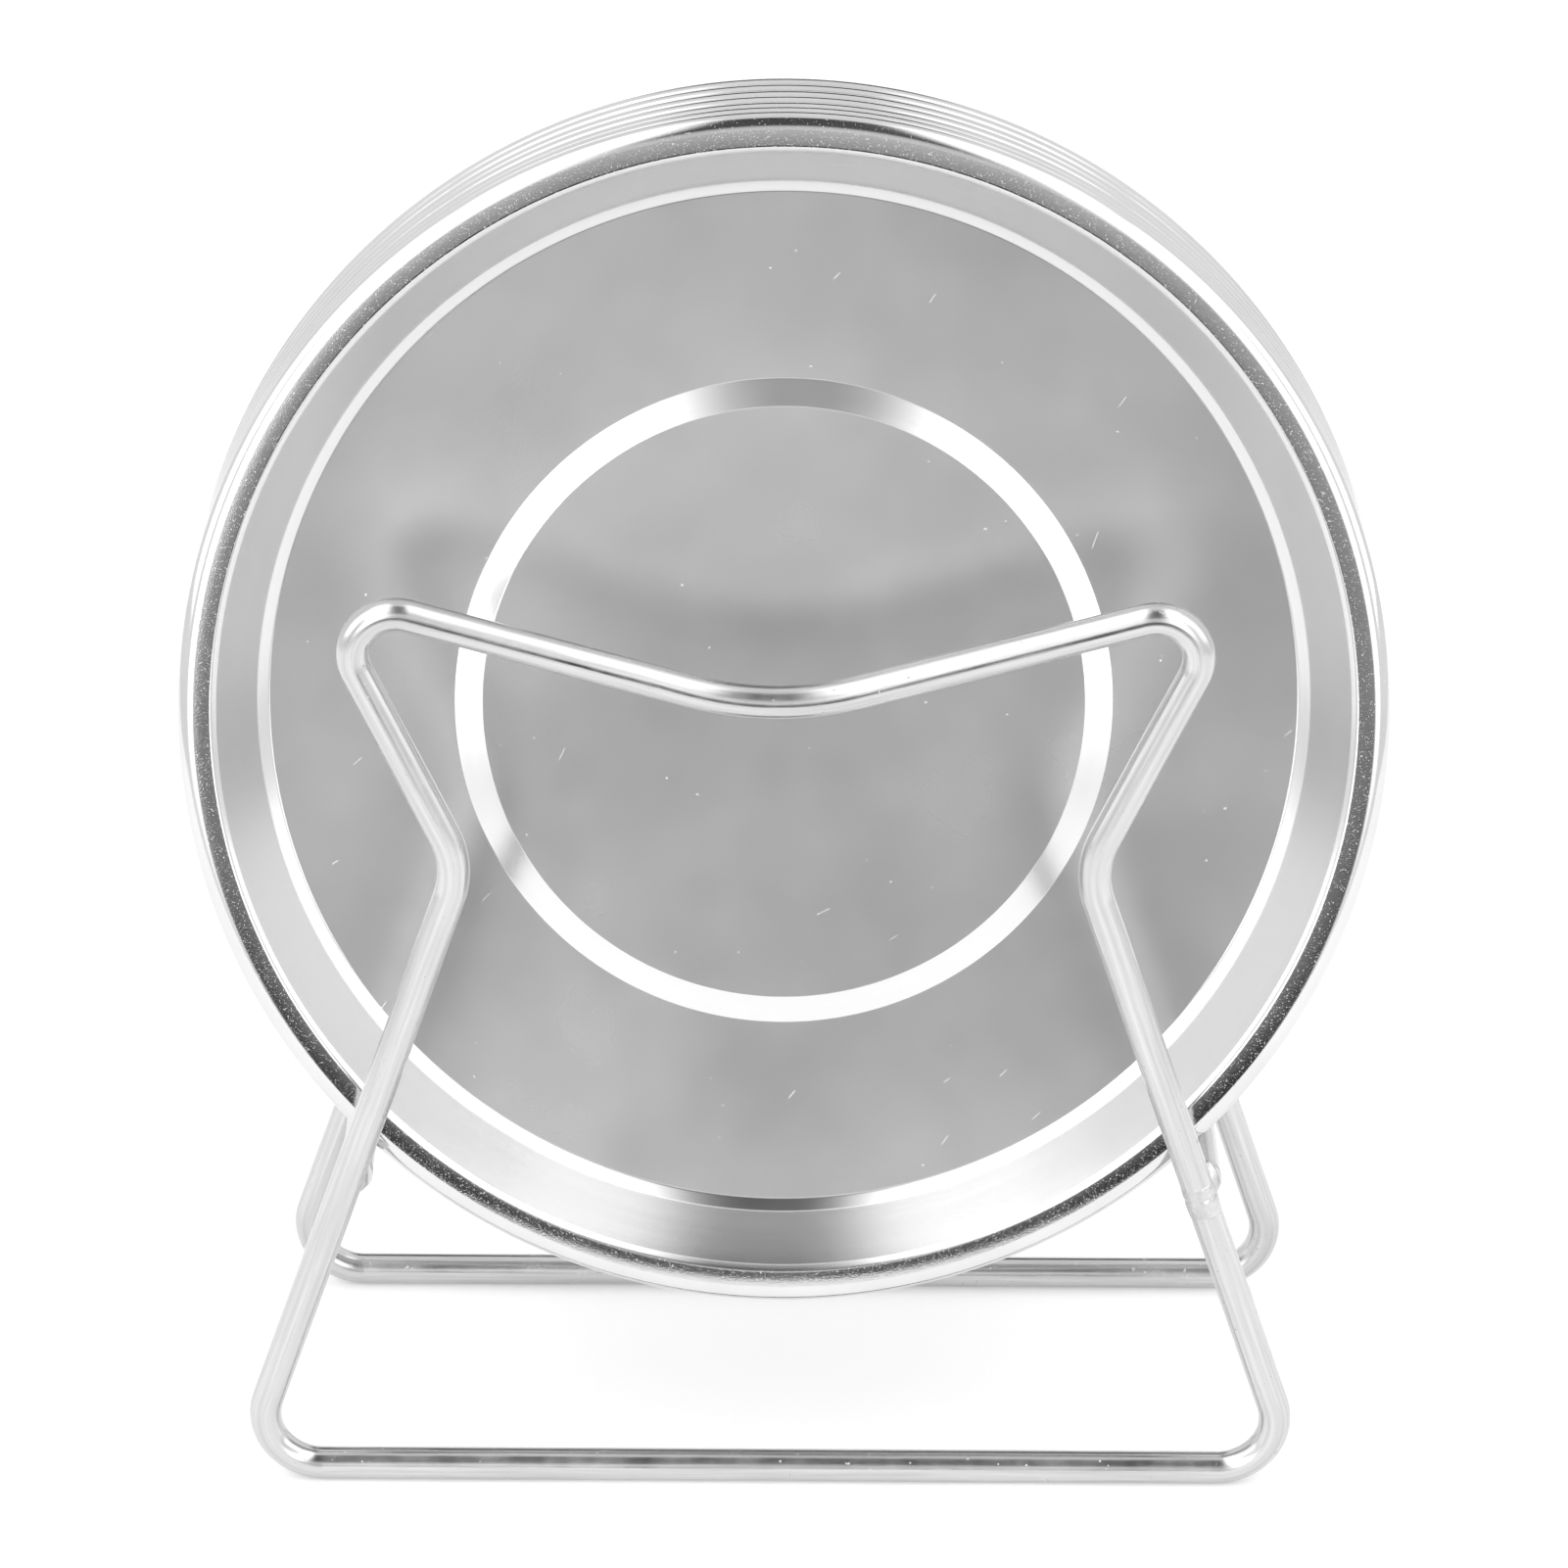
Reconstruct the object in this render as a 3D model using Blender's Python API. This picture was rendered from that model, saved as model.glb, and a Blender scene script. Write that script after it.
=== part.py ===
"""Seven nested stainless-steel plates standing on edge in a bent-wire rack.

Metres, +Z up. The rack stands on z = 0, the plates face -Y and lean back.
Two closed wire loops (front and rear) are joined by two level rails that the
plates' rims rest on; the rearmost plate leans on the top of the rear loop.
"""

import math

import bmesh
import bpy
from mathutils import Vector

MM = 0.001

# Wire rack
WIRE_R = 2.7 * MM
WIRE_SIDES = 12
# The rack's middle lies this far from the middle of the whole object.
RACK_Y = -1.05 * MM
LOOP_Y = 33.9 * MM
LOOP_SHIFT = 1.5 * MM
FOOT_HALF = 89.0 * MM
WAIST_HALF = 50.9 * MM
WAIST_Z = 114.7 * MM
EAR_HALF = 73.5 * MM
EAR_Z = 162.8 * MM
VEE_Z = 142.1 * MM
FOOT_BEND_R = 9.5 * MM
WAIST_BEND_R = 15.0 * MM
EAR_BEND_R = 7.0 * MM
VEE_BEND_R = 50.0 * MM
BEND_STEP = math.radians(19.0)
REAR_SLOPE = math.tan(math.radians(1.2))

# Rails
RAIL_X = 70.6 * MM
RAIL_Z = 56.9 * MM
JOINT_GAP = 0.3 * MM

# Plates
PLATE_R = 100.0 * MM
PLATE_SEGMENTS = 36
LEAN = math.radians(12.2)
FRONT_PLATE_Y = -10.5 * MM
PLATE_Z = 130.5 * MM
PITCHES = (2.4 * MM, 2.3 * MM, 3.1 * MM, 2.8 * MM, 3.3 * MM, 3.1 * MM)
SHEET = 0.5 * MM
DISC_R = 50.2 * MM
DISC_DEPTH = 12.6 * MM
STEP_R = 54.8 * MM
FLOOR_DEPTH = 13.8 * MM
FLOOR_R = 85.8 * MM
FOOT_R = 87.7 * MM
FOOT_DEPTH = 12.4 * MM
WALL_TOP_R = 93.5 * MM
WALL_TOP_DEPTH = 0.8 * MM
BRIM_R = 94.4 * MM
ROLL_R = 97.2 * MM
ROLL_DEPTH = 2.2 * MM
LIP_DEPTH = 2.5 * MM

STEEL_SATIN = (0.60, 0.60, 0.59)
STEEL_PLATED = (0.72, 0.72, 0.71)


def clear_scene():
    for obj in list(bpy.data.objects):
        bpy.data.objects.remove(obj, do_unlink=True)


def metal(name, colour, roughness):
    material = bpy.data.materials.new(name)
    material.use_nodes = True
    shader = material.node_tree.nodes["Principled BSDF"]
    shader.inputs["Base Color"].default_value = (*colour, 1.0)
    shader.inputs["Metallic"].default_value = 1.0
    shader.inputs["Roughness"].default_value = roughness
    return material


def add_object(name, bm, colour, roughness, parent=None):
    bmesh.ops.recalc_face_normals(bm, faces=bm.faces)
    mesh = bpy.data.meshes.new(name)
    bm.to_mesh(mesh)
    bm.free()
    mesh.materials.append(metal(name, colour, roughness))
    obj = bpy.data.objects.new(name, mesh)
    bpy.context.scene.collection.objects.link(obj)
    obj.parent = parent
    return obj


def skin_rings(bm, rings, closed):
    """Joins rings of vertices, all of one length, with quads."""
    count = len(rings)
    sides = len(rings[0])
    for i in range(count if closed else count - 1):
        a = rings[i]
        b = rings[(i + 1) % count]
        for j in range(sides):
            k = (j + 1) % sides
            bm.faces.new((a[j], a[k], b[k], b[j]))


def bend(before, corner, after, radius):
    """Points of the arc of this radius that rounds one corner."""
    u = (before - corner).normalized()
    v = (after - corner).normalized()
    half = u.angle(v) / 2
    centre = corner + (u + v).normalized() * (radius / math.sin(half))
    start = corner + u * (radius / math.tan(half)) - centre
    end = corner + v * (radius / math.tan(half)) - centre
    turn = start.angle(end)
    steps = max(2, math.ceil(turn / BEND_STEP))
    points = []
    for i in range(steps + 1):
        s = i / steps
        mix = start * math.sin((1 - s) * turn) + end * math.sin(s * turn)
        points.append(centre + mix / math.sin(turn))
    return points


def loop_path(shift):
    """Centreline of one wire loop in X and Z, clockwise from the left foot."""
    corners = (
        (-FOOT_HALF, WIRE_R, FOOT_BEND_R),
        (-WAIST_HALF, WAIST_Z, WAIST_BEND_R),
        (-EAR_HALF, EAR_Z, EAR_BEND_R),
        (0.0, VEE_Z, VEE_BEND_R),
        (EAR_HALF, EAR_Z, EAR_BEND_R),
        (WAIST_HALF, WAIST_Z, WAIST_BEND_R),
        (FOOT_HALF, WIRE_R, FOOT_BEND_R),
    )
    spots = [Vector((x + shift, z)) for x, z, _ in corners]
    path = []
    for i, (_, _, radius) in enumerate(corners):
        after = spots[(i + 1) % len(spots)]
        path += bend(spots[i - 1], spots[i], after, radius)
    return path


def wire_loop(name, y, shift, slope):
    """A closed wire with flats on its outer side, so that it rests on one. It
    leans towards -Y by slope."""
    path = loop_path(shift)
    corner_r = WIRE_R / math.cos(math.pi / WIRE_SIDES)
    bm = bmesh.new()
    rings = []
    for i, point in enumerate(path):
        back = (point - path[i - 1]).normalized()
        ahead = (path[(i + 1) % len(path)] - point).normalized()
        along = (back + ahead).normalized()
        widen = 1 / along.dot(ahead)
        side = Vector((-along.y, along.x))
        centre_y = RACK_Y + y - slope * (point.y - WIRE_R)
        ring = []
        for j in range(WIRE_SIDES):
            angle = (j + 0.5) * 2 * math.pi / WIRE_SIDES
            out = side * (corner_r * math.cos(angle) * widen)
            depth = centre_y + corner_r * math.sin(angle)
            ring.append(bm.verts.new((point.x + out.x, depth, point.y + out.y)))
        rings.append(ring)
    skin_rings(bm, rings, closed=True)
    return add_object(name, bm, STEEL_PLATED, 0.18)


def rail(name, x):
    """A round rail between the two loops, parallel to Y."""
    corner_r = WIRE_R / math.cos(math.pi / WIRE_SIDES)
    reach = LOOP_Y - WIRE_R - JOINT_GAP
    rear = reach - REAR_SLOPE * RAIL_Z
    bm = bmesh.new()
    rings = []
    for y in (RACK_Y - reach, RACK_Y + rear):
        ring = []
        for j in range(WIRE_SIDES):
            angle = (j + 0.5) * 2 * math.pi / WIRE_SIDES
            offset = Vector((math.cos(angle), math.sin(angle))) * corner_r
            ring.append(bm.verts.new((x + offset.x, y, RAIL_Z + offset.y)))
        rings.append(ring)
    skin_rings(bm, rings, closed=False)
    bm.faces.new(rings[0])
    bm.faces.new(rings[1])
    return add_object(name, bm, STEEL_PLATED, 0.18)


def plate_profile():
    """Radius and height of the sheet's section, from the front centre round
    the edge, which curves back, to the back centre. The brim's front is at
    height 0."""
    wall = Vector((WALL_TOP_R - FOOT_R, FOOT_DEPTH - WALL_TOP_DEPTH)).normalized()
    wall_out = Vector((wall.y, -wall.x)) * SHEET
    foot = Vector((FOOT_R - FLOOR_R, FLOOR_DEPTH - FOOT_DEPTH)).normalized()
    foot_out = Vector((foot.y, -foot.x)) * SHEET
    front = [
        (0.0, -DISC_DEPTH),
        (DISC_R, -DISC_DEPTH),
        (STEP_R, -FLOOR_DEPTH),
        (FLOOR_R, -FLOOR_DEPTH),
        (FOOT_R, -FOOT_DEPTH),
        (WALL_TOP_R, -WALL_TOP_DEPTH),
        (BRIM_R, 0.0),
    ]
    edge = []
    inner = []
    for degrees in (90, 60, 30, 0):
        across = (PLATE_R - ROLL_R) * math.cos(math.radians(degrees))
        down = ROLL_DEPTH * math.sin(math.radians(degrees)) - ROLL_DEPTH
        edge.append((ROLL_R + across, down))
        thin = 1 - SHEET / (PLATE_R - ROLL_R)
        low = (ROLL_DEPTH - SHEET) * math.sin(math.radians(degrees)) - ROLL_DEPTH
        inner.append((ROLL_R + across * thin, low))
    edge += [(PLATE_R, -LIP_DEPTH), (PLATE_R - SHEET, -LIP_DEPTH)]
    back = [
        (BRIM_R + 0.3 * SHEET, -SHEET),
        (WALL_TOP_R + wall_out.x, -WALL_TOP_DEPTH + wall_out.y),
        (FOOT_R + wall_out.x, -FOOT_DEPTH + wall_out.y),
        (FLOOR_R + foot_out.x, -FLOOR_DEPTH - SHEET),
        (STEP_R, -FLOOR_DEPTH - SHEET),
        (DISC_R, -DISC_DEPTH - SHEET),
        (0.0, -DISC_DEPTH - SHEET),
    ]
    return front + edge + inner[::-1] + back


def plate(name, y):
    """A dished round plate, spun about its own axis and leant back."""
    right = Vector((1, 0, 0))
    up = Vector((0, math.sin(LEAN), math.cos(LEAN)))
    facing = Vector((0, -math.cos(LEAN), math.sin(LEAN)))
    centre = Vector((0, y, PLATE_Z))
    profile = plate_profile()
    bm = bmesh.new()
    columns = []
    for j in range(PLATE_SEGMENTS):
        angle = j * 2 * math.pi / PLATE_SEGMENTS
        out = right * math.cos(angle) + up * math.sin(angle)
        column = []
        for r, height in profile[1:-1]:
            column.append(bm.verts.new(centre + out * r + facing * height))
        columns.append(column)
    front = bm.verts.new(centre + facing * profile[0][1])
    back = bm.verts.new(centre + facing * profile[-1][1])
    for j in range(PLATE_SEGMENTS):
        a = columns[j]
        b = columns[(j + 1) % PLATE_SEGMENTS]
        bm.faces.new((front, a[0], b[0]))
        bm.faces.new((back, b[-1], a[-1]))
        for k in range(len(a) - 1):
            bm.faces.new((a[k], a[k + 1], b[k + 1], b[k]))
    pivot = bpy.data.objects.new(name + "_lift", None)
    pivot.location = centre
    bpy.context.scene.collection.objects.link(pivot)
    obj = add_object(name, bm, STEEL_SATIN, 0.32, pivot)
    obj.matrix_parent_inverse.translation = -centre
    return obj


def build():
    clear_scene()
    wire_loop("front_frame", -LOOP_Y, -LOOP_SHIFT, 0.0)
    wire_loop("rear_frame", LOOP_Y, LOOP_SHIFT, REAR_SLOPE)
    rail("left_rail", -RAIL_X)
    rail("right_rail", RAIL_X)
    y = RACK_Y + FRONT_PLATE_Y
    for number in range(1, len(PITCHES) + 2):
        plate(f"plate_{number}", y)
        if number <= len(PITCHES):
            y += PITCHES[number - 1]


build()
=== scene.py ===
"""Looks for seven nested steel plates standing in a bent-wire rack."""

import math

import bmesh
import bpy
from mathutils import Matrix, Vector
from mathutils import noise as perlin

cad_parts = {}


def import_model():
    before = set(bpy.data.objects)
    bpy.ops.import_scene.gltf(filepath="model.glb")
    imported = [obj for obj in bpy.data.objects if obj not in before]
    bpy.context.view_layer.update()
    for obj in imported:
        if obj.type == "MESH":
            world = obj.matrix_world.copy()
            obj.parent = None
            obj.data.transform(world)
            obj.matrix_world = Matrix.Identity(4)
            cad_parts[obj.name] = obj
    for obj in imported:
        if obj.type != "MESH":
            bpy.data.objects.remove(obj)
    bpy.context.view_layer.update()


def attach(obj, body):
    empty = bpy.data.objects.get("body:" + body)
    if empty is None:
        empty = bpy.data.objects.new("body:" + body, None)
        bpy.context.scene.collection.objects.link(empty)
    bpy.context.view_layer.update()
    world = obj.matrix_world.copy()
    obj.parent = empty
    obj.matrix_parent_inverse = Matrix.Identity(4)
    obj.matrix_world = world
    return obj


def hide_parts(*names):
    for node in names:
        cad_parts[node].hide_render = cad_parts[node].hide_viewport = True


MM = 0.001

# The CAD's dimensions, in the same frame: the rack.
WIRE_R = 2.7 * MM
RACK_Y = -1.05 * MM
LOOP_Y = 33.9 * MM
LOOP_SHIFT = 1.5 * MM
RAIL_X = 70.6 * MM
RAIL_Z = 56.9 * MM
REAR_SLOPE = math.tan(math.radians(1.2))
# X, Z and bend radius of each corner of a loop, clockwise from the left foot.
LOOP_CORNERS = (
    (-89.0 * MM, 2.7 * MM, 9.5 * MM),
    (-50.9 * MM, 114.7 * MM, 15.0 * MM),
    (-73.5 * MM, 162.8 * MM, 7.0 * MM),
    (0.0, 142.1 * MM, 50.0 * MM),
    (73.5 * MM, 162.8 * MM, 7.0 * MM),
    (50.9 * MM, 114.7 * MM, 15.0 * MM),
    (89.0 * MM, 2.7 * MM, 9.5 * MM),
)
RIGHT_WAIST = 5
RIGHT_FOOT = 6

# The CAD's dimensions: where the plates stand.
LEAN = math.radians(12.2)
FRONT_PLATE_Y = -10.5 * MM
PLATE_Z = 130.5 * MM
PITCHES = (2.4 * MM, 2.3 * MM, 3.1 * MM, 2.8 * MM, 3.3 * MM, 3.1 * MM)

# The CAD's dimensions: a plate's section. Depths are below the brim's front.
PLATE_R = 100.0 * MM
SHEET = 0.5 * MM
DISC_R = 50.2 * MM
DISC_DEPTH = 12.6 * MM
STEP_R = 54.8 * MM
FLOOR_DEPTH = 13.8 * MM
FLOOR_R = 85.8 * MM
FOOT_R = 87.7 * MM
FOOT_DEPTH = 12.4 * MM
WALL_TOP_R = 93.5 * MM
WALL_TOP_DEPTH = 0.8 * MM
BRIM_R = 94.4 * MM
ROLL_R = 97.2 * MM
ROLL_DEPTH = 2.2 * MM
LIP_DEPTH = 2.5 * MM

# How much further out and deeper the wall's back is than its front.
WALL_BACK_OUT = 0.45 * MM
WALL_BACK_DOWN = 0.22 * MM

# Fine geometry. CENTRE_R is one more ring of vertices on the flat centre, and the
# edge and inner steps are the degrees between points of the turned-back edge.
CENTRE_R = 20.0 * MM
PLATE_SEGMENTS = 240
CORNER_STEPS = 6
EDGE_STEP = 6
INNER_STEP = 9
PLATE_TURN = math.radians(51)
WIRE_SIDES = 32
BEND_STEP = math.radians(3.0)
STRAIGHT_STEP = 3.0 * MM
RAIL_STEPS = 24
# How far past a loop's centreline, towards the middle, a rail's end stops.
RAIL_TUCK = 0.6 * WIRE_R

# Welds: half sizes, how far they sit inside the loops' centrelines, and how far
# they are shifted sideways from the rails', with the loops. BUTT_DROP is how far
# below the rails the butt weld starts.
SMALL_WELD = Vector((2.5 * MM, 2.3 * MM, 3.2 * MM))
LARGE_WELD = Vector((3.0 * MM, 2.4 * MM, 3.9 * MM))
WELD_INSET = 1.4 * MM
WELD_SHIFT = 0.6 * MM
BUTT_DROP = 5.2 * MM
BUTT_LENGTH = 5.5 * MM
BUTT_STEPS = 28

# Camera, at the photograph's viewing angle. The lens and sensor are in mm.
CAMERA_AIM = Vector((0.12 * MM, RACK_Y, 114.15 * MM))
CAMERA_DISTANCE = 1051.05 * MM
CAMERA_ELEVATION = math.radians(24.55)
CAMERA_TURN = math.radians(0.24)
CAMERA_ROLL = math.radians(0.45)
CAMERA_LENS = 144.34
CAMERA_SENSOR = 36.0

# Studio. A white tent has two bright panels, one on each side, and a darker
# gap between them. Widths are how far a direction points sideways, 0 to 1.
TENT_LEVEL = 1.0
LEFT_PANEL_LEVEL = 2.7
RIGHT_PANEL_LEVEL = 2.5
PANEL_END = 0.52
PANEL_SOFT = 0.12
PANEL_FADE_BACK = 0.35
PANEL_FADE_UP = (-0.12, 0.04)
GAP_MIDDLE = 0.03
GAP_HALF = 0.14
GAP_SOFT = 0.13
# The gap is wider below the horizon, narrower above it, and plain further up.
GAP_WIDENS = 0.02
GAP_NARROWS = 0.035
HORIZON = (-0.06, 0.06)
FURTHER_UP = (0.25, 0.45)
# Brightness of the gap by elevation in degrees, from in front over the top to
# behind.
GAP_LEVELS = (
    (-180, 0.30),
    (-25, 0.08),
    (-5, 0.04),
    (-3, 0.05),
    (0, 0.32),
    (4, 0.46),
    (8, 0.72),
    (18, 0.78),
    (27, 0.58),
    (34, 0.09),
    (76, 0.07),
    (87, 0.90),
    (130, 1.00),
    (140, 0.07),
    (157, 0.08),
    (168, 1.25),
    (180, 1.20),
)
SOFTBOX_POWER = 3.0
SOFTBOX_SIZE = (0.9, 1.2)
SOFTBOX_AIM = Vector((0.0, 0.0, 0.12))
TABLE_HALF = 0.7
TABLE_FRONT = -0.50
TABLE_BACK = 1.6
TABLE_GREY = 0.78
TABLE_GLOW = 0.25


# ---------------------------------------------------------------- node helpers


def new_material(name):
    material = bpy.data.materials.new(name)
    material.use_nodes = True
    tree = material.node_tree
    shader = tree.nodes["Principled BSDF"]
    shader.inputs["Metallic"].default_value = 1.0
    return material, tree, shader


def add(tree, kind, **values):
    node = tree.nodes.new(kind)
    for key, value in values.items():
        setattr(node, key, value)
    return node


def coords(tree, output, scale):
    """A Mapping node that scales one of the object's own coordinates."""
    source = add(tree, "ShaderNodeTexCoord")
    mapping = add(tree, "ShaderNodeMapping")
    mapping.inputs["Scale"].default_value = scale
    tree.links.new(source.outputs[output], mapping.inputs["Vector"])
    return mapping.outputs["Vector"]


def separate(tree, vector):
    node = add(tree, "ShaderNodeSeparateXYZ")
    tree.links.new(vector, node.inputs["Vector"])
    return node.outputs["X"], node.outputs["Y"], node.outputs["Z"]


def combine(tree, x, y, z):
    node = add(tree, "ShaderNodeCombineXYZ")
    for socket, value in zip(node.inputs, (x, y, z)):
        tree.links.new(value, socket)
    return node.outputs["Vector"]


def ring_coords(tree, around, across):
    """Coordinates stretched round the plate's axis, with no seam."""
    flat = add(tree, "ShaderNodeUVMap", uv_map="disc").outputs["UV"]
    x, y, _ = separate(tree, flat)
    length = add(tree, "ShaderNodeVectorMath", operation="LENGTH")
    tree.links.new(flat, length.inputs[0])
    parts = ((x, around), (y, around), (length.outputs["Value"], across))
    return combine(tree, *(math_node(tree, "MULTIPLY", v, k) for v, k in parts))


def wire_coords(tree, along, across):
    """Coordinates stretched along the wire, with no seam round it."""
    maps = []
    for name in ("along", "round"):
        node = add(tree, "ShaderNodeUVMap", uv_map=name)
        maps.append(separate(tree, node.outputs["UV"]))
    parts = ((maps[0][0], along), (maps[1][0], across), (maps[1][1], across))
    return combine(tree, *(math_node(tree, "MULTIPLY", v, k) for v, k in parts))


def noise(tree, vector, scale, detail=4.0, rough=0.6):
    """Noise with about scale features to each unit of the coordinates."""
    node = add(tree, "ShaderNodeTexNoise")
    node.inputs["Scale"].default_value = scale
    node.inputs["Detail"].default_value = detail
    node.inputs["Roughness"].default_value = rough
    tree.links.new(vector, node.inputs["Vector"])
    return node.outputs["Fac"]


def spread(tree, value, low, high, out_low, out_high):
    """Maps a value's range low..high to out_low..out_high, clamped."""
    node = add(tree, "ShaderNodeMapRange")
    node.inputs["From Min"].default_value = low
    node.inputs["From Max"].default_value = high
    node.inputs["To Min"].default_value = out_low
    node.inputs["To Max"].default_value = out_high
    tree.links.new(value, node.inputs["Value"])
    return node.outputs["Result"]


def math_node(tree, operation, a, b):
    node = add(tree, "ShaderNodeMath", operation=operation)
    for socket, value in zip(node.inputs, (a, b)):
        if isinstance(value, (int, float)):
            socket.default_value = value
        else:
            tree.links.new(value, socket)
    return node.outputs["Value"]


def grey(level):
    return (level, level, level)


def tint(tree, value, dark, light):
    """Mixes two greys by a value."""
    node = add(tree, "ShaderNodeMix", data_type="RGBA")
    node.inputs["A"].default_value = (*dark, 1.0)
    node.inputs["B"].default_value = (*light, 1.0)
    tree.links.new(value, node.inputs["Factor"])
    return node.outputs["Result"]


def bump(tree, shader, heights):
    """Chains one Bump node for each (height, distance in metres)."""
    normal = None
    for height, distance in heights:
        node = add(tree, "ShaderNodeBump")
        node.inputs["Distance"].default_value = distance
        tree.links.new(height, node.inputs["Height"])
        if normal is not None:
            tree.links.new(normal, node.inputs["Normal"])
        normal = node.outputs["Normal"]
    tree.links.new(normal, shader.inputs["Normal"])


# ------------------------------------------------------------------- materials


def scratches(tree, turn):
    """Sparse fine scratches, 1 where there is one."""
    flat = add(tree, "ShaderNodeUVMap", uv_map="disc").outputs["UV"]
    bent = add(tree, "ShaderNodeVectorMath", operation="ADD")
    sway = noise(tree, coords(tree, "Object", (1, 1, 1)), 60.0, 1.0)
    tree.links.new(flat, bent.inputs[0])
    tree.links.new(math_node(tree, "MULTIPLY", sway, 0.01), bent.inputs[1])
    node = add(tree, "ShaderNodeMapping")
    node.inputs["Rotation"].default_value = (0, 0, turn)
    node.inputs["Scale"].default_value = (150, 2600, 1)
    tree.links.new(bent.outputs["Vector"], node.inputs["Vector"])
    return spread(tree, noise(tree, node.outputs["Vector"], 1.0, 0.0), 0.90, 0.93, 0, 1)


def satin_steel(name, dark, light, rough_low, rough_high, grain):
    """Fine-grained satin steel: faint clouding, tiny specks and a few scratches."""
    material, tree, shader = new_material(name)
    place = coords(tree, "Object", (1, 1, 1))
    cloud = noise(tree, place, 22.0, 3.0)
    fine = noise(tree, place, 2100.0, 2.0, 0.7)
    speck = spread(tree, noise(tree, place, 900.0, 1.0, 0.5), 0.80, 0.86, 0, 1)
    marks = math_node(tree, "MAXIMUM", scratches(tree, 0.6), scratches(tree, 2.1))
    marks = math_node(tree, "MAXIMUM", marks, speck)
    clouded = spread(tree, cloud, 0.3, 0.7, 0.0, 0.65)
    grained = spread(tree, fine, 0.25, 0.75, 0.0, 0.35)
    mix = math_node(tree, "ADD", clouded, grained)
    plain = tint(tree, mix, dark, light)
    marked = add(tree, "ShaderNodeMix", data_type="RGBA")
    marked.inputs["B"].default_value = (0.80, 0.80, 0.80, 1.0)
    tree.links.new(plain, marked.inputs["A"])
    tree.links.new(marks, marked.inputs["Factor"])
    tree.links.new(marked.outputs["Result"], shader.inputs["Base Color"])
    tree.links.new(spread(tree, cloud, 0.3, 0.7, rough_low, rough_high), shader.inputs["Roughness"])
    bump(tree, shader, ((fine, grain), (marks, 4 * grain)))
    return material


def drawn_steel(name, dark, light, rough_low, rough_high):
    """Smooth drawn steel with very faint rings round the axis."""
    material, tree, shader = new_material(name)
    rings = noise(tree, ring_coords(tree, 9, 1500), 1.0, 2.0, 0.6)
    cloud = noise(tree, coords(tree, "Object", (1, 1, 1)), 26.0, 3.0)
    lined = math_node(tree, "MULTIPLY", rings, 0.4)
    mix = math_node(tree, "ADD", lined, math_node(tree, "MULTIPLY", cloud, 0.6))
    base = tint(tree, spread(tree, mix, 0.3, 0.7, 0, 1), dark, light)
    tree.links.new(base, shader.inputs["Base Color"])
    tree.links.new(spread(tree, cloud, 0.3, 0.7, rough_low, rough_high), shader.inputs["Roughness"])
    bump(tree, shader, ((rings, 0.0000025),))
    return material


def polished_steel(name, dark, light, rough_low, rough_high, sparkle):
    """Polished steel with hairlines round the axis and fine bright specks."""
    material, tree, shader = new_material(name)
    place = coords(tree, "Object", (1, 1, 1))
    hair = noise(tree, ring_coords(tree, 60, 5000), 1.0, 2.0, 0.6)
    fine = noise(tree, place, 4200.0, 1.0, 0.6)
    smudge = noise(tree, place, 40.0, 3.0)
    spots = spread(tree, fine, 0.68, 0.78, 0, 1)
    base = tint(tree, spread(tree, smudge, 0.3, 0.7, 0, 1), dark, light)
    tree.links.new(base, shader.inputs["Base Color"])
    rough = spread(tree, smudge, 0.3, 0.7, rough_low, rough_high)
    rough = math_node(tree, "ADD", rough, math_node(tree, "MULTIPLY", spots, 0.3))
    tree.links.new(rough, shader.inputs["Roughness"])
    bump(tree, shader, ((hair, 0.000001), (fine, sparkle), (spots, 4 * sparkle)))
    return material


def plated_wire():
    """Bright drawn wire: streaks along it, small pits and dull patches."""
    material, tree, shader = new_material("plated_wire")
    streak = noise(tree, wire_coords(tree, 30, 1100), 1.0, 3.0, 0.6)
    fine = noise(tree, wire_coords(tree, 300, 4200), 1.0, 2.0, 0.7)
    place = coords(tree, "Object", (1, 1, 1))
    patch = noise(tree, place, 120.0, 3.0)
    pits = spread(tree, noise(tree, place, 800.0, 2.0, 0.7), 0.70, 0.76, 0, 1)
    shade = math_node(tree, "SUBTRACT", streak, math_node(tree, "MULTIPLY", pits, 0.3))
    shade = spread(tree, shade, 0.3, 0.7, 0, 1)
    colour = tint(tree, shade, grey(0.50), grey(0.65))
    tree.links.new(colour, shader.inputs["Base Color"])
    rough = spread(tree, patch, 0.3, 0.7, 0.16, 0.28)
    rough = math_node(tree, "ADD", rough, math_node(tree, "MULTIPLY", pits, 0.3))
    tree.links.new(rough, shader.inputs["Roughness"])
    bump(tree, shader, ((streak, 0.00002), (fine, 0.000010), (pits, -0.00004)))
    return material


def weld_metal():
    """Rough, slightly darker fused metal."""
    material, tree, shader = new_material("weld_metal")
    place = coords(tree, "Object", (1, 1, 1))
    lumps = noise(tree, place, 420.0, 4.0, 0.7)
    stain = noise(tree, place, 160.0, 3.0)
    shade = spread(tree, stain, 0.3, 0.7, 0, 1)
    colour = tint(tree, shade, grey(0.44), grey(0.66))
    tree.links.new(colour, shader.inputs["Base Color"])
    tree.links.new(spread(tree, lumps, 0.3, 0.7, 0.18, 0.42), shader.inputs["Roughness"])
    bump(tree, shader, ((lumps, 0.00015),))
    return material


# -------------------------------------------------------------------- geometry


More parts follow.
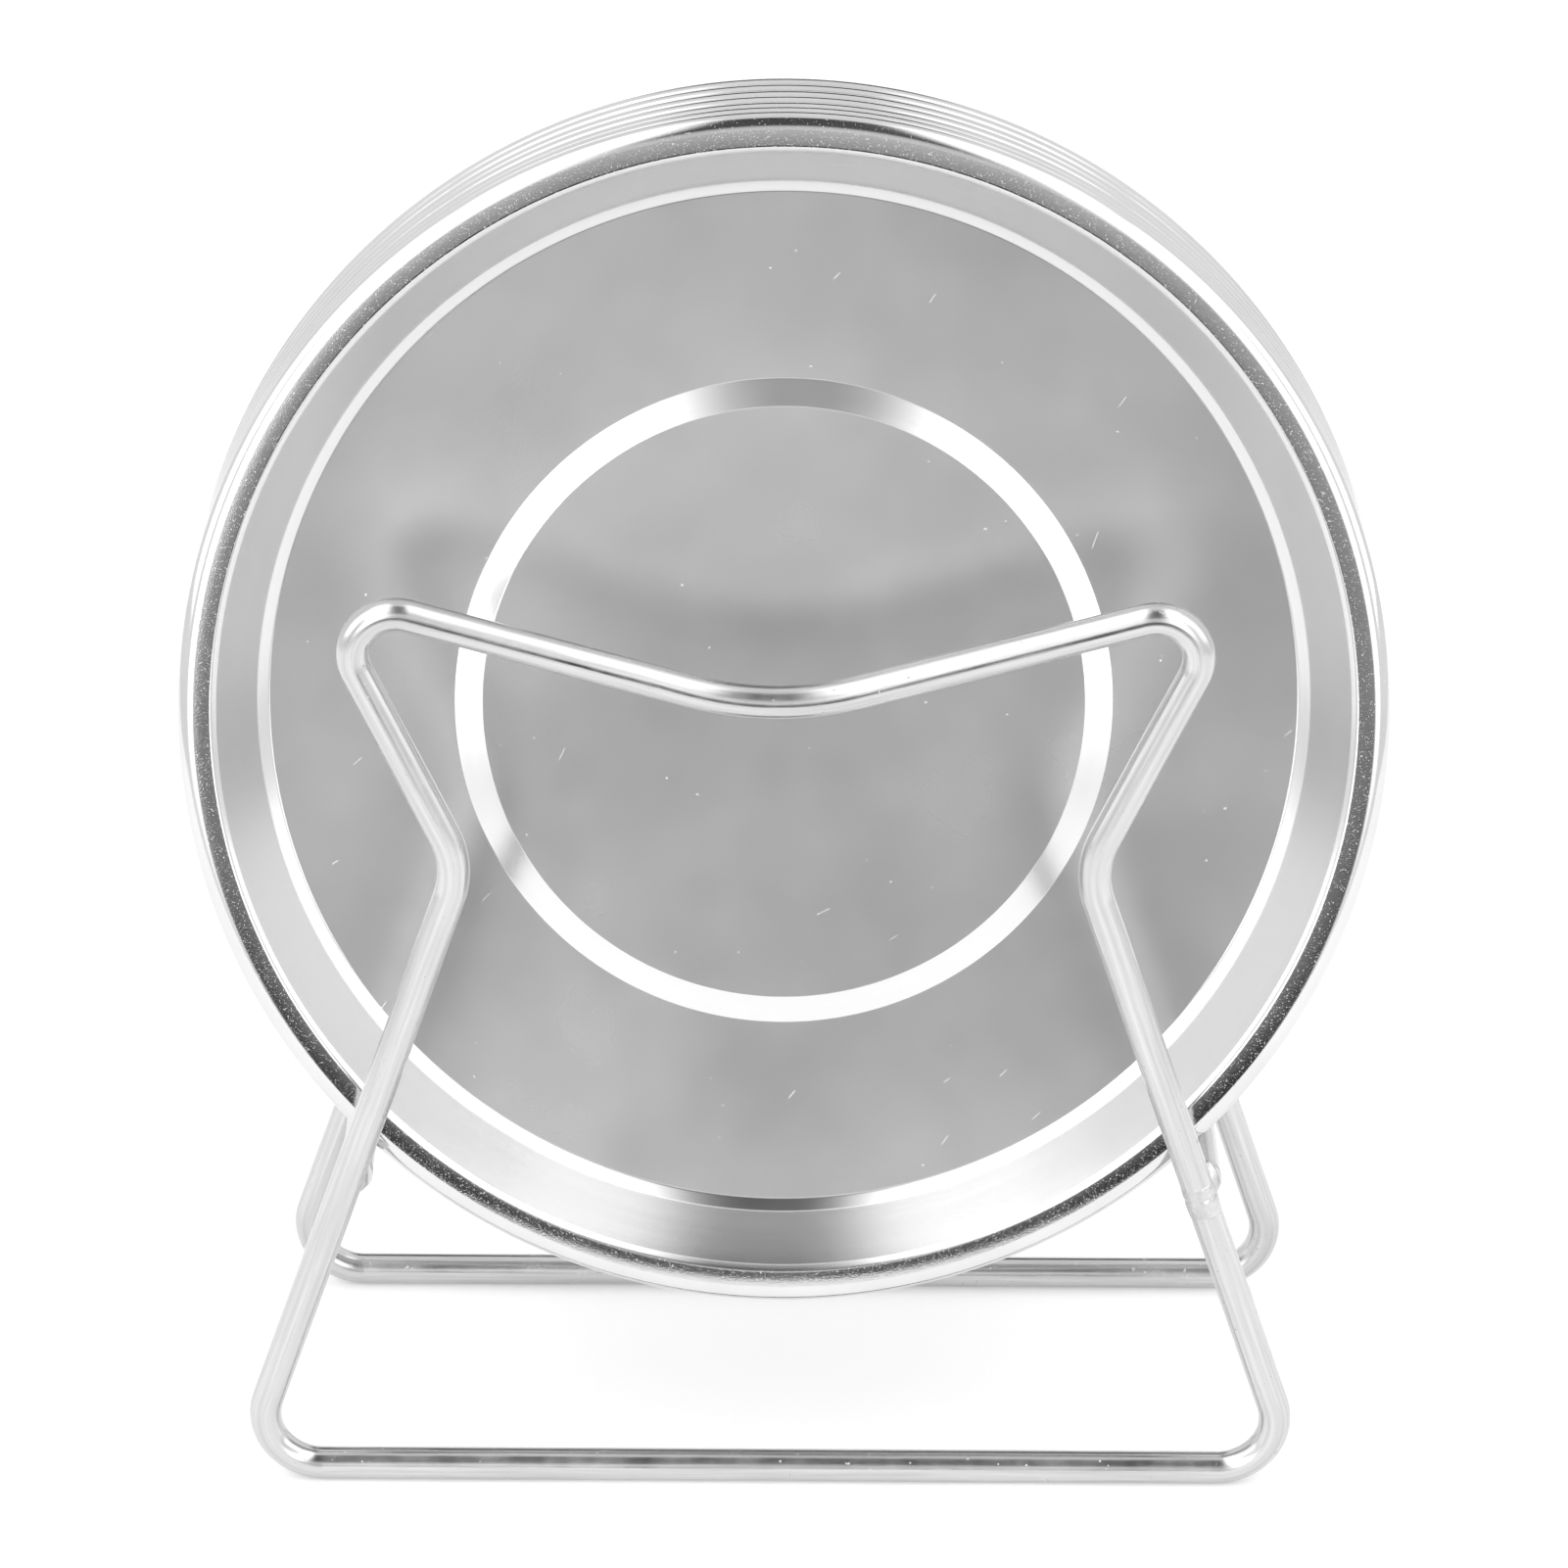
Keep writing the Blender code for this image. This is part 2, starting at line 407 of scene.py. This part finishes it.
def add_piece(name, bm, materials, body):
    """Makes a piece that rides on a body and takes its finish from a slot."""
    mesh = bpy.data.meshes.new(name)
    bm.to_mesh(mesh)
    bm.free()
    for material in materials:
        mesh.materials.append(material)
    obj = bpy.data.objects.new(name, mesh)
    bpy.context.scene.collection.objects.link(obj)
    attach(obj, body)
    return obj


def arc(before, corner, after, radius):
    """Points of the arc that rounds one corner."""
    u = (before - corner).normalized()
    v = (after - corner).normalized()
    half = u.angle(v) / 2
    centre = corner + (u + v).normalized() * (radius / math.sin(half))
    start = corner + u * (radius / math.tan(half)) - centre
    end = corner + v * (radius / math.tan(half)) - centre
    turn = start.angle(end)
    steps = max(4, math.ceil(turn / BEND_STEP))
    points = []
    for i in range(steps + 1):
        s = i / steps
        mix = start * math.sin((1 - s) * turn) + end * math.sin(s * turn)
        points.append(centre + mix / math.sin(turn))
    return points


def loop_path(shift):
    """Closed centreline in X and Z with points a few millimetres apart."""
    spots = [Vector((x + shift, z)) for x, z, _ in LOOP_CORNERS]
    bends = []
    for i, (_, _, radius) in enumerate(LOOP_CORNERS):
        bends.append(arc(spots[i - 1], spots[i], spots[(i + 1) % len(spots)], radius))
    path = []
    for i, points in enumerate(bends):
        path += points
        start = points[-1]
        end = bends[(i + 1) % len(bends)][0]
        steps = max(1, round((end - start).length / STRAIGHT_STEP))
        path += [start.lerp(end, s / steps) for s in range(1, steps)]
    return path


def tube(bm, centres, sides, closed, radii=None):
    """A round tube through 3-D points, with maps of where along and round it."""
    along_map = bm.loops.layers.uv.new("along")
    round_map = bm.loops.layers.uv.new("round")
    count = len(centres)
    rings = []
    along = [0.0]
    for i, point in enumerate(centres):
        back = centres[i - 1] if closed or i else point
        ahead = centres[(i + 1) % count] if closed or i < count - 1 else point
        direction = (ahead - back).normalized()
        side = direction.cross(Vector((0, 1, 0)))
        if side.length < 0.5:
            side = Vector((1, 0, 0))
        side.normalize()
        other = direction.cross(side)
        radius = WIRE_R if radii is None else radii[i]
        ring = []
        for j in range(sides):
            angle = j * 2 * math.pi / sides
            out = side * math.cos(angle) + other * math.sin(angle)
            ring.append(bm.verts.new(point + out * radius))
        rings.append(ring)
        along.append(along[-1] + (centres[(i + 1) % count] - point).length)
    for i in range(count if closed else count - 1):
        a = rings[i]
        b = rings[(i + 1) % count]
        for j in range(sides):
            k = (j + 1) % sides
            face = bm.faces.new((a[j], b[j], b[k], a[k]))
            face.smooth = True
            places = ((along[i], j), (along[i + 1], j), (along[i + 1], j + 1), (along[i], j + 1))
            for loop, (length, step) in zip(face.loops, places):
                angle = step * 2 * math.pi / sides
                loop[along_map].uv = (length, 0)
                loop[round_map].uv = (WIRE_R * math.cos(angle), WIRE_R * math.sin(angle))
    return rings


def wire_loop(node, y, shift, slope, materials):
    """A closed loop that leans towards -Y by slope."""
    bm = bmesh.new()
    centres = []
    for p in loop_path(shift):
        centres.append(Vector((p.x, RACK_Y + y - slope * (p.y - WIRE_R), p.y)))
    tube(bm, centres, WIRE_SIDES, closed=True)
    bmesh.ops.recalc_face_normals(bm, faces=bm.faces)
    piece = add_piece(node + "_wire", bm, materials, "rack")
    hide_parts(node)


def rail(node, x, materials):
    """A round rail from loop to loop, its ends inside the welds."""
    bm = bmesh.new()
    front = RACK_Y - LOOP_Y + RAIL_TUCK
    rear = RACK_Y + LOOP_Y - RAIL_TUCK - REAR_SLOPE * RAIL_Z
    centres = []
    for i in range(RAIL_STEPS + 1):
        centres.append(Vector((x, front + (rear - front) * i / RAIL_STEPS, RAIL_Z)))
    rings = tube(bm, centres, WIRE_SIDES, closed=False)
    bm.faces.new(rings[0])
    bm.faces.new(rings[-1])
    bmesh.ops.recalc_face_normals(bm, faces=bm.faces)
    piece = add_piece(node + "_wire", bm, materials, "rack")
    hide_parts(node)


def weld(name, x, y, size, seed, materials):
    """A lumpy bead of fused metal where a rail's end meets a loop's leg."""
    bm = bmesh.new()
    bmesh.ops.create_uvsphere(bm, u_segments=40, v_segments=24, radius=1.0)
    for vertex in bm.verts:
        lump = perlin.noise(vertex.co * 1.6 + Vector((seed, 0, 0)))
        fine = perlin.noise(vertex.co * 5.0 + Vector((0, seed, 0)))
        grow = 1 + 0.16 * lump + 0.05 * fine
        vertex.co = vertex.co * size * grow + Vector((x, y, RAIL_Z))
    for face in bm.faces:
        face.smooth = True
    add_piece(name, bm, materials, "rack")


def welds(materials):
    """One weld at each end of both rails."""
    front = RACK_Y - LOOP_Y + WELD_INSET
    rear = RACK_Y + LOOP_Y - REAR_SLOPE * RAIL_Z - WELD_INSET
    weld("front_left_weld", -RAIL_X - WELD_SHIFT, front, SMALL_WELD, 1.0, materials)
    weld("front_right_weld", RAIL_X - WELD_SHIFT, front, LARGE_WELD, 5.0, materials)
    weld("rear_left_weld", -RAIL_X + WELD_SHIFT, rear, LARGE_WELD, 9.0, materials)
    weld("rear_right_weld", RAIL_X + WELD_SHIFT, rear, SMALL_WELD, 13.0, materials)


def butt_weld_path():
    """Centres and radii along the front loop's right leg, with one groove."""
    foot_x, foot_z, _ = LOOP_CORNERS[RIGHT_FOOT]
    waist_x, waist_z, _ = LOOP_CORNERS[RIGHT_WAIST]
    centres = []
    radii = []
    for i in range(BUTT_STEPS + 1):
        t = i / BUTT_STEPS
        z = RAIL_Z - BUTT_DROP + BUTT_LENGTH * t
        x = foot_x + (waist_x - foot_x) * (z - foot_z) / (waist_z - foot_z) - LOOP_SHIFT
        centres.append(Vector((x, RACK_Y - LOOP_Y, z)))
        swell = 0.20 * MM * math.sin(math.pi * t) ** 0.5 - 0.05 * MM
        groove = 0.14 * MM * math.exp(-(((t - 0.62) / 0.07) ** 2))
        radii.append(WIRE_R + swell - groove)
    return centres, radii


def butt_weld(materials):
    """The uneven collar where the ends of the front loop's wire meet."""
    centres, radii = butt_weld_path()
    bm = bmesh.new()
    rings = tube(bm, centres, WIRE_SIDES, closed=False, radii=radii)
    for centre, ring in zip(centres, rings):
        for vertex in ring:
            out = (vertex.co - centre).normalized()
            vertex.co += out * (0.12 * MM * perlin.noise(vertex.co * 900))
    bm.faces.new(rings[0])
    bm.faces.new(rings[-1])
    bmesh.ops.recalc_face_normals(bm, faces=bm.faces)
    add_piece("front_loop_butt_weld", bm, materials, "rack")


# Regions of the plate's section, in the order of the mesh's materials.
FLOOR, RING, WALL, BRIM, EDGE, BACK = range(6)


def rounded(points):
    """Rounds each corner that has a radius as its fourth value."""
    out = [points[0]]
    for i in range(1, len(points) - 1):
        corner = Vector(points[i][:2])
        before = Vector(points[i - 1][:2]) - corner
        after = Vector(points[i + 1][:2]) - corner
        if len(points[i]) < 4:
            out.append(points[i])
            continue
        half = before.angle(after) / 2
        cut = min(points[i][3] / math.tan(half), 0.45 * before.length, 0.45 * after.length)
        start = corner + before.normalized() * cut
        end = corner + after.normalized() * cut
        for s in range(CORNER_STEPS + 1):
            t = s / CORNER_STEPS
            p = start * (1 - t) ** 2 + corner * (2 * t * (1 - t)) + end * t**2
            out.append((p.x, p.y, points[i - 1][2] if t < 0.5 else points[i][2]))
    out.append(points[-1])
    return out


def roll_point(inset, degrees):
    """A point of the edge's quarter turn, inset from the sheet's outside."""
    angle = math.radians(degrees)
    out = (PLATE_R - ROLL_R - inset) * math.cos(angle)
    up = (ROLL_DEPTH - inset) * math.sin(angle)
    return ROLL_R + out, up - ROLL_DEPTH


def edge_section():
    """The section's turned-back edge, from its front round to its inside."""
    turn = [(*roll_point(0, degrees), EDGE) for degrees in range(84, -1, -EDGE_STEP)]
    low = -LIP_DEPTH
    lip = [
        (PLATE_R - 0.03 * MM, low + 0.08 * MM, EDGE),
        (PLATE_R - 0.13 * MM, low + 0.01 * MM, EDGE),
        (PLATE_R - SHEET + 0.13 * MM, low + 0.01 * MM, BACK),
        (PLATE_R - SHEET + 0.03 * MM, low + 0.08 * MM, BACK),
    ]
    inner = [(*roll_point(SHEET, degrees), BACK) for degrees in range(0, 91, INNER_STEP)]
    return turn + lip + inner


def plate_section():
    """(radius, height, region) from the front centre to the back centre. The
    brim's front is at height 0."""
    front = [
        (0.0, -DISC_DEPTH, FLOOR),
        (CENTRE_R, -DISC_DEPTH, FLOOR),
        (DISC_R, -DISC_DEPTH, RING, 1.0 * MM),
        (STEP_R, -FLOOR_DEPTH, FLOOR, 1.0 * MM),
        (FLOOR_R, -FLOOR_DEPTH, WALL, 0.9 * MM),
        (FOOT_R, -FOOT_DEPTH, WALL, 1.4 * MM),
        (WALL_TOP_R, -WALL_TOP_DEPTH, WALL, 1.0 * MM),
        (BRIM_R, 0.0, BRIM, 1.0 * MM),
        (ROLL_R, 0.0, EDGE),
    ]
    back = [
        (ROLL_R - 0.6 * SHEET, -SHEET, BACK),
        (BRIM_R + 0.3 * SHEET, -SHEET, BACK, 0.8 * MM),
        (WALL_TOP_R + WALL_BACK_OUT, -WALL_TOP_DEPTH - WALL_BACK_DOWN, BACK, 0.8 * MM),
        (FOOT_R + WALL_BACK_OUT, -FOOT_DEPTH - WALL_BACK_DOWN, BACK, 1.4 * MM),
        (FLOOR_R + 0.6 * SHEET, -FLOOR_DEPTH - SHEET, BACK, 0.9 * MM),
        (STEP_R, -FLOOR_DEPTH - SHEET, BACK, 1.0 * MM),
        (DISC_R, -DISC_DEPTH - SHEET, BACK, 1.0 * MM),
        (CENTRE_R, -DISC_DEPTH - SHEET, BACK),
        (0.0, -DISC_DEPTH - SHEET, BACK),
    ]
    section = rounded(front) + edge_section() + rounded(back)
    return [point[:3] for point in section]


def plate_mesh(materials):
    """One fine plate about its own Z axis, front facing +Z."""
    section = plate_section()
    bm = bmesh.new()
    disc_map = bm.loops.layers.uv.new("disc")
    columns = []
    for j in range(PLATE_SEGMENTS):
        angle = j * 2 * math.pi / PLATE_SEGMENTS
        column = []
        for r, height, _ in section[1:-1]:
            column.append(bm.verts.new((r * math.cos(angle), r * math.sin(angle), height)))
        columns.append(column)
    ends = (bm.verts.new((0, 0, section[0][1])), bm.verts.new((0, 0, section[-1][1])))
    for j in range(PLATE_SEGMENTS):
        a = columns[j]
        b = columns[(j + 1) % PLATE_SEGMENTS]
        faces = [((ends[0], a[0], b[0]), section[0][2]), ((ends[1], b[-1], a[-1]), BACK)]
        for k in range(len(a) - 1):
            faces.append(((a[k], a[k + 1], b[k + 1], b[k]), section[k + 1][2]))
        for corners, region in faces:
            face = bm.faces.new(corners)
            face.smooth = True
            face.material_index = region
            for loop in face.loops:
                loop[disc_map].uv = loop.vert.co.xy
    mesh = bpy.data.meshes.new("plate_fine")
    bm.to_mesh(mesh)
    bm.free()
    for material in materials:
        mesh.materials.append(material)
    return mesh


def place_plates(mesh):
    """Seven copies of the plate, each leant back and turned on its own axis."""
    y = RACK_Y + FRONT_PLATE_Y
    lean = Matrix.Rotation(math.radians(90) - LEAN, 4, "X")
    for number in range(1, len(PITCHES) + 2):
        spin = Matrix.Rotation(PLATE_TURN * number, 4, "Z")
        own = mesh.copy()
        own.transform(Matrix.Translation((0, y, PLATE_Z)) @ lean @ spin)
        obj = bpy.data.objects.new(f"plate_{number}_steel", own)
        bpy.context.scene.collection.objects.link(obj)
        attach(obj, f"plate_{number}")
        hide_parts(f"plate_{number}")
        if number <= len(PITCHES):
            y += PITCHES[number - 1]


# ----------------------------------------------------------------------- stage


def floor_material():
    material = bpy.data.materials.new("floor_white")
    material.use_nodes = True
    shader = material.node_tree.nodes["Principled BSDF"]
    shader.inputs["Base Color"].default_value = (*grey(TABLE_GREY), 1.0)
    shader.inputs["Roughness"].default_value = 0.6
    shader.inputs["Specular IOR Level"].default_value = 0.2
    shader.inputs["Emission Color"].default_value = (1, 1, 1, 1)
    shader.inputs["Emission Strength"].default_value = TABLE_GLOW
    return material


def floor():
    bm = bmesh.new()
    for x, y in (
        (-TABLE_HALF, TABLE_FRONT),
        (TABLE_HALF, TABLE_FRONT),
        (TABLE_HALF, TABLE_BACK),
        (-TABLE_HALF, TABLE_BACK),
    ):
        bm.verts.new((x, y, 0))
    bm.faces.new(bm.verts)
    mesh = bpy.data.meshes.new("floor")
    bm.to_mesh(mesh)
    bm.free()
    mesh.materials.append(floor_material())
    obj = bpy.data.objects.new("floor", mesh)
    bpy.context.scene.collection.objects.link(obj)


def softbox(name, location):
    data = bpy.data.lights.new(name, "AREA")
    data.shape = "RECTANGLE"
    data.size, data.size_y = SOFTBOX_SIZE
    data.energy = SOFTBOX_POWER
    obj = bpy.data.objects.new(name, data)
    obj.location = location
    aim = (SOFTBOX_AIM - Vector(location)).to_track_quat("-Z", "Y")
    obj.rotation_euler = aim.to_euler()
    bpy.context.scene.collection.objects.link(obj)


def lights():
    softbox("left_softbox", (-1.1, -0.35, 0.75))
    softbox("right_softbox", (1.15, -0.35, 0.75))


def gap_level(tree, y, z):
    """Brightness of the gap between the panels, by elevation."""
    turn = math_node(tree, "ARCTAN2", z, math_node(tree, "MULTIPLY", y, -1.0))
    node = add(tree, "ShaderNodeValToRGB")
    ramp = node.color_ramp.elements
    while len(ramp) < len(GAP_LEVELS):
        ramp.new(0.5)
    for stop, (degrees, level) in zip(ramp, GAP_LEVELS):
        stop.position = (degrees + 180) / 360
        stop.color = (level, level, level, 1.0)
    tree.links.new(spread(tree, turn, -math.pi, math.pi, 0, 1), node.inputs["Fac"])
    return node.outputs["Color"]


def tent_level(tree, x, y, z):
    """Brightness of the tent and its panels, without the gap."""
    panel = spread(tree, x, -0.1, 0.1, LEFT_PANEL_LEVEL, RIGHT_PANEL_LEVEL)
    sideways = math_node(tree, "ABSOLUTE", x, 0.0)
    side = spread(tree, sideways, PANEL_END, PANEL_END + PANEL_SOFT, 1.0, 0.0)
    side = math_node(tree, "MULTIPLY", side, spread(tree, y, 0.0, PANEL_FADE_BACK, 1.0, 0.0))
    side = math_node(tree, "MULTIPLY", side, spread(tree, z, *PANEL_FADE_UP, 0.0, 1.0))
    extra = math_node(tree, "SUBTRACT", panel, TENT_LEVEL)
    return math_node(tree, "ADD", TENT_LEVEL, math_node(tree, "MULTIPLY", side, extra))


def world():
    """Lights the scene from all round, and shows plain white to the camera."""
    scene_world = bpy.data.worlds.new("studio")
    scene_world.use_nodes = True
    tree = scene_world.node_tree
    x, y, z = separate(tree, add(tree, "ShaderNodeTexCoord").outputs["Generated"])
    off = math_node(tree, "ABSOLUTE", math_node(tree, "SUBTRACT", x, GAP_MIDDLE), 0.0)
    narrower = spread(tree, z, *HORIZON, -GAP_WIDENS, GAP_NARROWS)
    wider = spread(tree, z, *FURTHER_UP, 0.0, GAP_NARROWS)
    off = math_node(tree, "ADD", off, math_node(tree, "SUBTRACT", narrower, wider))
    gap = spread(tree, off, GAP_HALF, GAP_HALF + GAP_SOFT, 1.0, 0.0)
    outside = math_node(tree, "SUBTRACT", 1.0, gap)
    lit = math_node(tree, "MULTIPLY", outside, tent_level(tree, x, y, z))
    inside = math_node(tree, "MULTIPLY", gap, gap_level(tree, y, z))
    light_path = add(tree, "ShaderNodeLightPath")
    seen = math_node(tree, "ADD", lit, inside)
    plain = math_node(tree, "MAXIMUM", seen, light_path.outputs["Is Camera Ray"])
    tree.links.new(plain, tree.nodes["Background"].inputs["Strength"])
    tree.nodes["Background"].inputs["Color"].default_value = (1, 1, 1, 1)
    bpy.context.scene.world = scene_world


def camera():
    data = bpy.data.cameras.new("camera")
    data.sensor_width = CAMERA_SENSOR
    data.lens = CAMERA_LENS
    data.clip_start = 0.05
    obj = bpy.data.objects.new("camera", data)
    level = math.cos(CAMERA_ELEVATION)
    forward = (math.sin(CAMERA_TURN) * level, math.cos(CAMERA_TURN) * level)
    look = Vector((*forward, -math.sin(CAMERA_ELEVATION)))
    right = Vector((math.cos(CAMERA_TURN), -math.sin(CAMERA_TURN), 0))
    up = right.cross(look)
    side = right * math.cos(CAMERA_ROLL) + up * math.sin(CAMERA_ROLL)
    over = up * math.cos(CAMERA_ROLL) - right * math.sin(CAMERA_ROLL)
    place = CAMERA_AIM - look * CAMERA_DISTANCE
    rows = Matrix((side, over, -look)).transposed().to_4x4()
    obj.matrix_world = Matrix.Translation(place) @ rows
    bpy.context.scene.collection.objects.link(obj)
    bpy.context.scene.camera = obj


def main():
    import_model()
    camera()
    floor()
    lights()
    world()
    wire = plated_wire()
    wire_loop("front_frame", -LOOP_Y, -LOOP_SHIFT, 0.0, [wire])
    wire_loop("rear_frame", LOOP_Y, LOOP_SHIFT, REAR_SLOPE, [wire])
    rail("left_rail", -RAIL_X, [wire])
    rail("right_rail", RAIL_X, [wire])
    fused = weld_metal()
    welds([fused])
    butt_weld([fused])
    regions = [
        satin_steel("satin_floor", grey(0.57), grey(0.64), 0.24, 0.28, 0.0000060),
        drawn_steel("ring_steel", grey(0.70), grey(0.74), 0.18, 0.22),
        drawn_steel("wall_steel", grey(0.64), grey(0.69), 0.17, 0.23),
        polished_steel("brim_steel", grey(0.58), grey(0.64), 0.06, 0.10, 0.0000070),
        polished_steel("edge_steel", grey(0.64), grey(0.70), 0.07, 0.12, 0.0000012),
        satin_steel("back_steel", grey(0.58), grey(0.66), 0.27, 0.34, 0.0000060),
    ]
    place_plates(plate_mesh(regions))
    bpy.context.scene.view_settings.view_transform = "Standard"


main()
